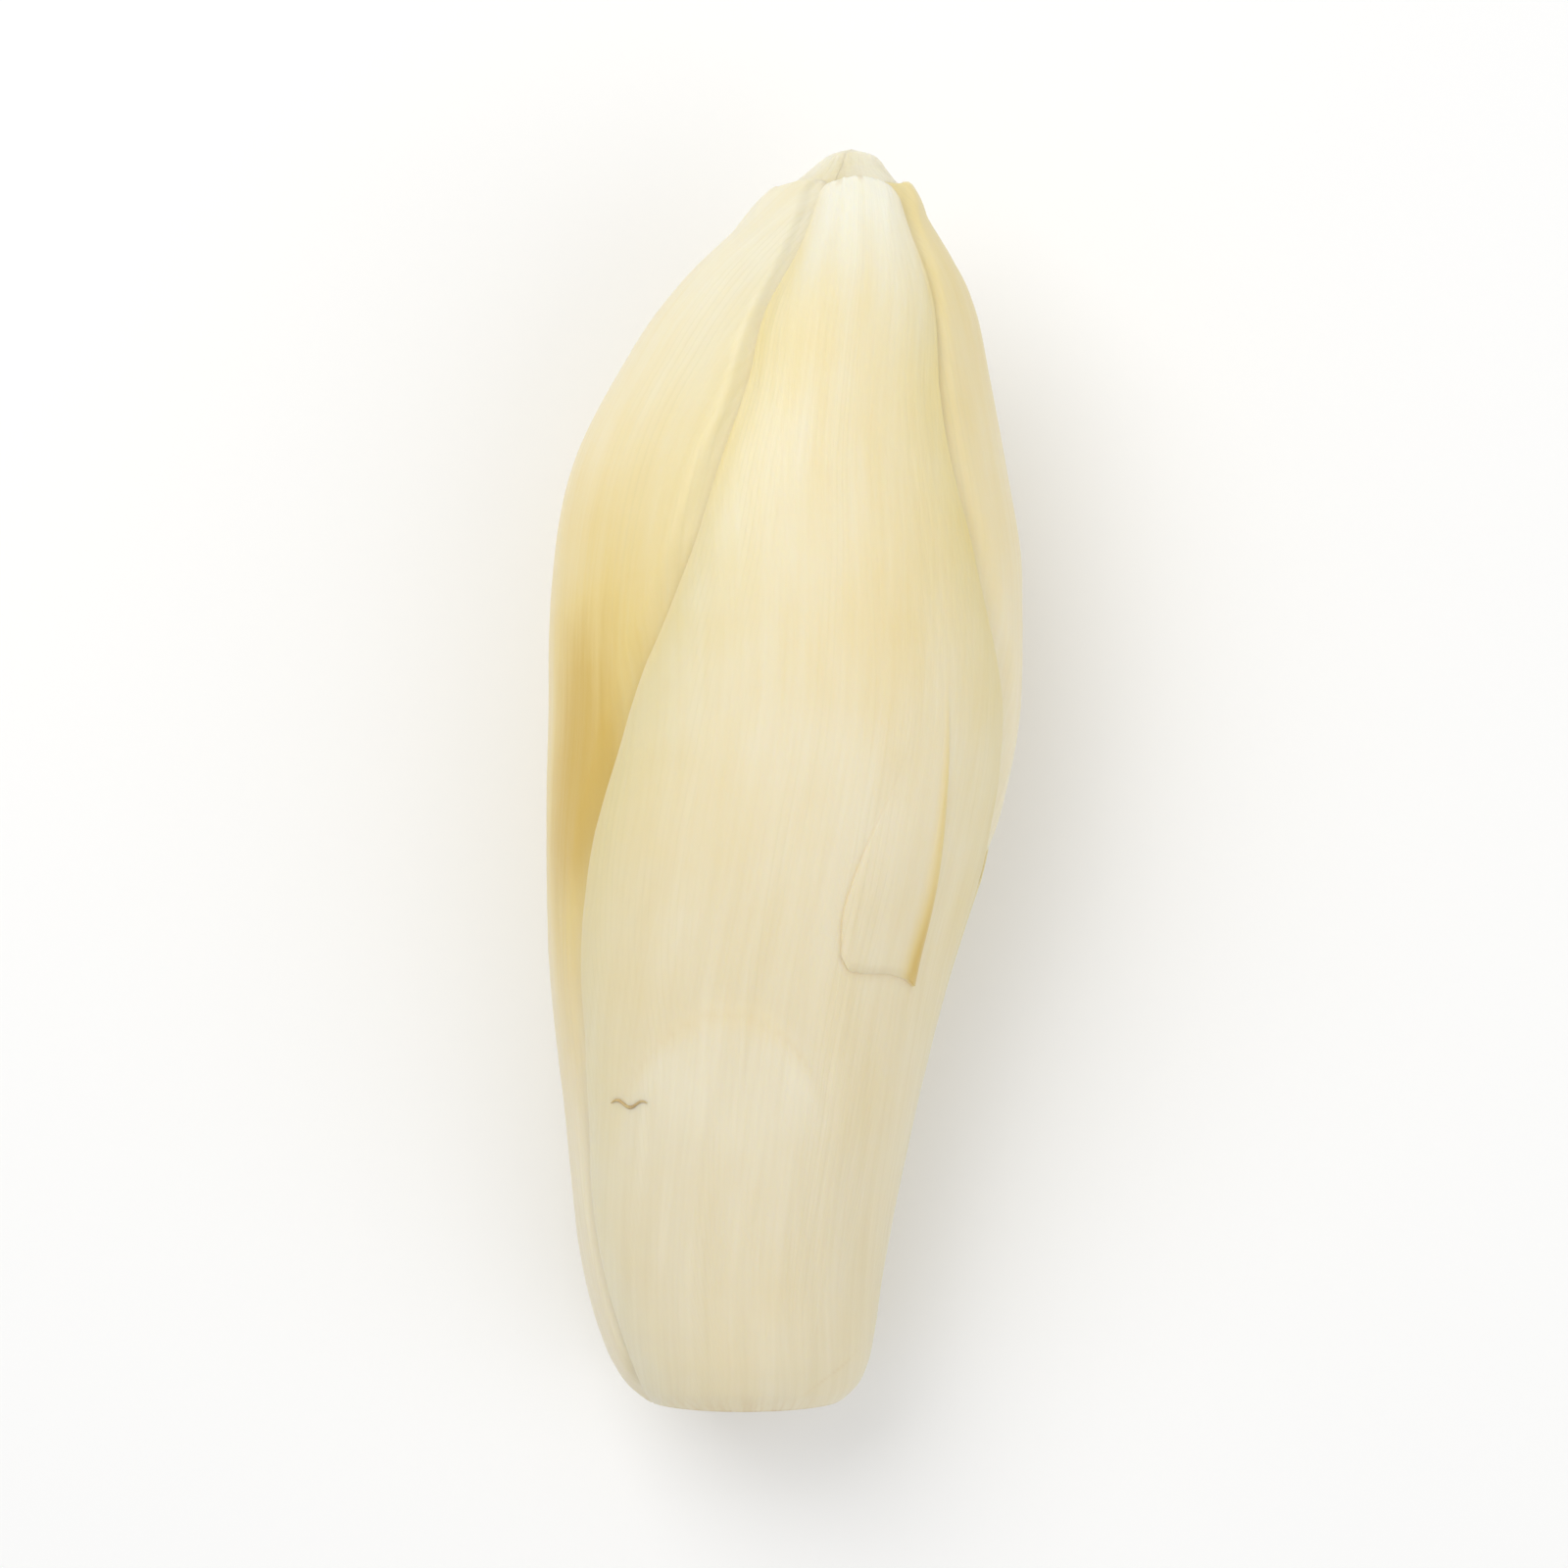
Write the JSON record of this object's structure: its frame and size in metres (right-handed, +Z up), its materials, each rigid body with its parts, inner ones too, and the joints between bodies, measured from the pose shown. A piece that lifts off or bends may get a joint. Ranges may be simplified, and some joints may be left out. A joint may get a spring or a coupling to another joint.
{
  "type": "belgian endive",
  "caption": "Head of Belgian endive (chicory): tight pointed spindle of nested pale leaves round a short stem, lying on its side",
  "frame": {"origin": "middle of the bounding box's bottom, on the surface that the head lies on", "axes": "+Y along the head from its cut to its tip, +X to its right as seen from above, +Z up"},
  "size_m": [0.0597, 0.158, 0.0586],
  "materials": {
    "outer_leaf": "waxy leaf, creamy white ribs fading to yellow margins",
    "inner_leaf": "waxy leaf, creamy white fading to yellow tip",
    "heart": "waxy, pale yellow",
    "stem": "moist flesh, browned where it is cut"
  },
  "bodies": {
    "root": {"leaf_01": "outer_leaf", "leaf_02": "outer_leaf", "leaf_03": "outer_leaf", "leaf_04": "outer_leaf", "leaf_05": "inner_leaf", "leaf_06": "inner_leaf", "leaf_07": "inner_leaf", "leaf_08": "inner_leaf", "leaf_09": "inner_leaf", "leaf_10": "inner_leaf", "leaf_11": "inner_leaf", "leaf_12": "inner_leaf", "leaf_13": "inner_leaf", "leaf_14": "inner_leaf", "leaf_15": "inner_leaf", "leaf_16": "inner_leaf", "heart": "heart", "stem": "stem"}
  },
  "joints": []
}
